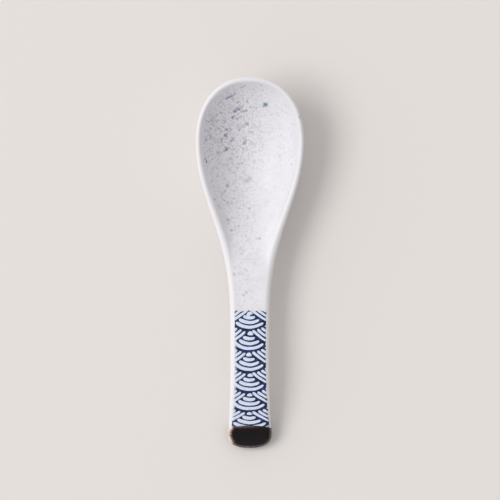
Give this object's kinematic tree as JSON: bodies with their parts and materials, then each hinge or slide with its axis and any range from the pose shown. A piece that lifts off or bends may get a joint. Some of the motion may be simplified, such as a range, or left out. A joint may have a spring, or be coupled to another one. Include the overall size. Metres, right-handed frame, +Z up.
{
  "type": "soup spoon",
  "caption": "Deep oval soup spoon of glazed stoneware with a flat foot and an arched handle that is printed with waves and dipped in dark glaze at its end.",
  "frame": {"origin": "middle of the bare foot under the bowl, on the table", "axes": "+Y along the spoon towards the lip, -Y towards the end of the handle, +Z up from the table, +X to the right of someone who holds the handle"},
  "size_m": [0.0498, 0.1714, 0.0279],
  "materials": {
    "clay": "matt, bare fired stoneware",
    "white_glaze": "satin white glaze with fine specks",
    "cobalt_print": "cobalt blue print, fired in",
    "dark_glaze": "glossy black-brown iron glaze"
  },
  "bodies": {
    "root": {"clay_body": "clay", "white_glaze": "white_glaze", "wave_print": "cobalt_print", "tip_glaze": "dark_glaze"}
  },
  "joints": []
}
